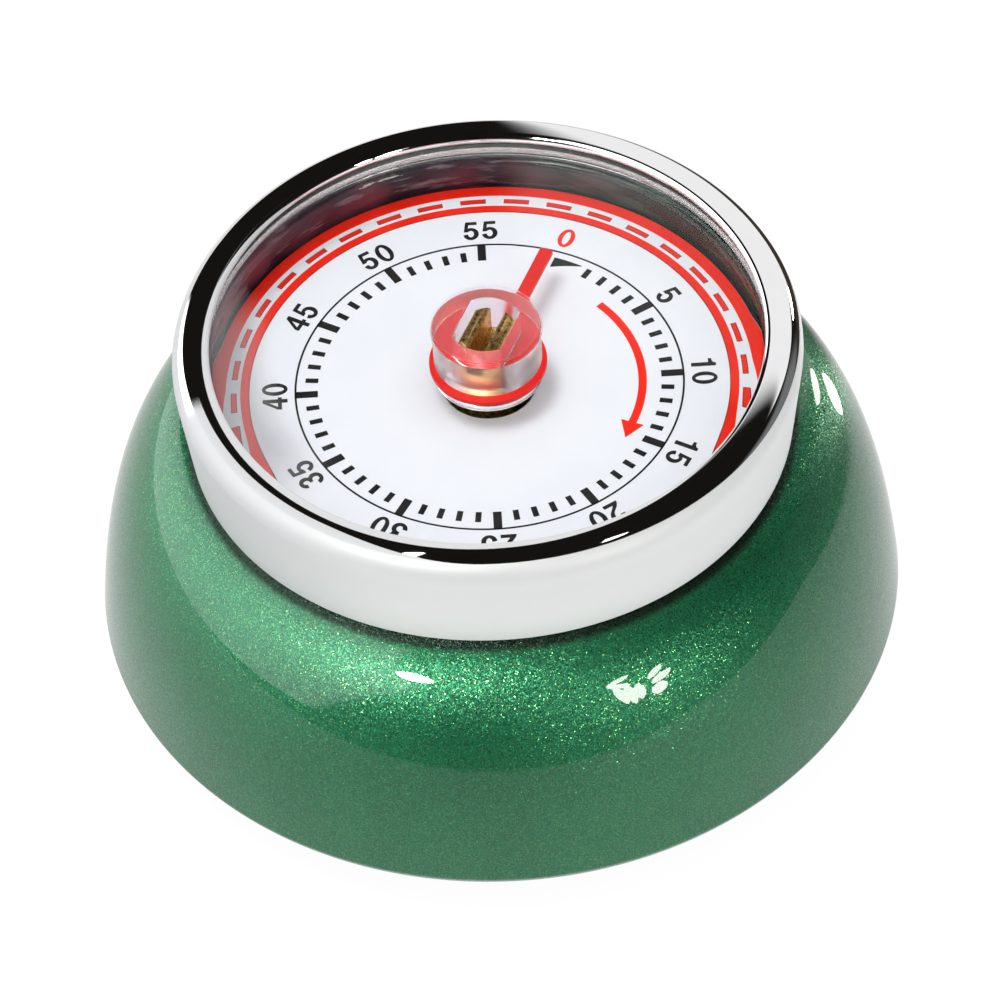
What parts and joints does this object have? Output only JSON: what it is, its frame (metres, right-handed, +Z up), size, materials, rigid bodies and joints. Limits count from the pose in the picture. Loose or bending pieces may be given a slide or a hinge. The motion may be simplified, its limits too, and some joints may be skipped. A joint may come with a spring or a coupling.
{
  "type": "kitchen timer",
  "caption": "Wind-up kitchen timer: green round housing on a magnet foot, chrome bezel that turns with its crystal and red hand over a minute dial, with wheelwork and a bell inside.",
  "frame": {"origin": "centre of the magnet foot's flat rim, on the surface that the timer stands on", "axes": "+Z up along the spindle, -Y towards the viewer, +X towards the 10 on the dial"},
  "size_m": [0.07, 0.07, 0.0355],
  "materials": {
    "green_flake": "green flake lacquer under a clear coat",
    "chrome": "bright plating",
    "brass": "stamped and turned",
    "steel": "plain",
    "blue_steel": "tempered spring steel",
    "ferrite": "matt, pressed",
    "dial_print": "white enamel with a printed scale",
    "red_plastic": "bright red",
    "clear_plastic": "clear, polished"
  },
  "bodies": {
    "housing": {"body_shell": "green_flake", "dial": "dial_print", "base_plate": "steel", "magnet_cup": "chrome", "ring_magnet": "ferrite", "magnet_screw": "steel", "bell_post": "brass", "bell": "steel", "bell_nut": "steel", "back_plate": "brass", "front_plate": "brass", "base_screw_1": "steel", "base_screw_2": "steel", "base_screw_3": "steel", "base_post_1": "steel", "base_post_2": "steel", "base_post_3": "steel", "movement_screw_1": "steel", "movement_screw_2": "steel", "movement_screw_3": "steel", "pillar_1": "brass", "pillar_2": "brass", "pillar_3": "brass", "housing_post_1": "steel", "housing_post_2": "steel", "housing_post_3": "steel", "arbor_bush": "brass", "stop_peg": "steel", "mainspring": "blue_steel", "spring_peg": "steel", "hammer_screw": "steel"},
    "spindle": {"bezel_ring": "chrome", "crystal": "clear_plastic", "hand": "red_plastic", "hand_collar": "chrome", "main_arbor": "brass", "main_wheel": "brass", "clutch_washer": "blue_steel", "stop_disc": "steel", "strike_cam": "brass"},
    "second_arbor": {"second_pinion": "steel", "second_wheel": "brass"},
    "third_arbor": {"third_pinion": "steel", "third_wheel": "brass"},
    "escape_arbor": {"escape_pinion": "steel", "escape_wheel": "brass"},
    "pallets": {"pallet_arbor": "steel", "pallet_anchor": "steel", "inertia_bar": "brass"},
    "hammer": {"hammer_lever": "steel", "hammer_weight": "brass"}
  },
  "joints": [
    {"name": "spindle_turn", "type": "hinge", "parent": "housing", "child": "spindle", "pos_m": [0, 0, 0], "axis": [0, 0, -1], "range_deg": [0, 336]},
    {"name": "second_turn", "type": "hinge", "parent": "housing", "child": "second_arbor", "pos_m": [0.0168, 0, 0.0168], "axis": [0, 0, -1], "range_deg": [-2016, 0]},
    {"name": "third_turn", "type": "hinge", "parent": "housing", "child": "third_arbor", "pos_m": [0.01661, 0.012, 0.0168], "axis": [0, 0, -1], "range_deg": [0, 10080]},
    {"name": "escape_turn", "type": "hinge", "parent": "housing", "child": "escape_arbor", "pos_m": [0.00913, 0.01835, 0.0168], "axis": [0, 0, -1], "range_deg": [-60480, 0]},
    {"name": "pallet_swing", "type": "hinge", "parent": "housing", "child": "pallets", "pos_m": [0.00263, 0.02033, 0.0168], "axis": [0, 0, -1], "range_deg": [-5, 5]},
    {"name": "hammer_swing", "type": "hinge", "parent": "housing", "child": "hammer", "pos_m": [-0.02026, 0.0117, 0.0096], "axis": [0, 0, -1], "range_deg": [0, 8], "stiffness_Nm_per_rad": 0.002}
  ],
  "couplings": [
    {"joint": "second_turn", "follows": "spindle_turn", "ratio": -6},
    {"joint": "third_turn", "follows": "spindle_turn", "ratio": 30},
    {"joint": "escape_turn", "follows": "spindle_turn", "ratio": -180}
  ]
}
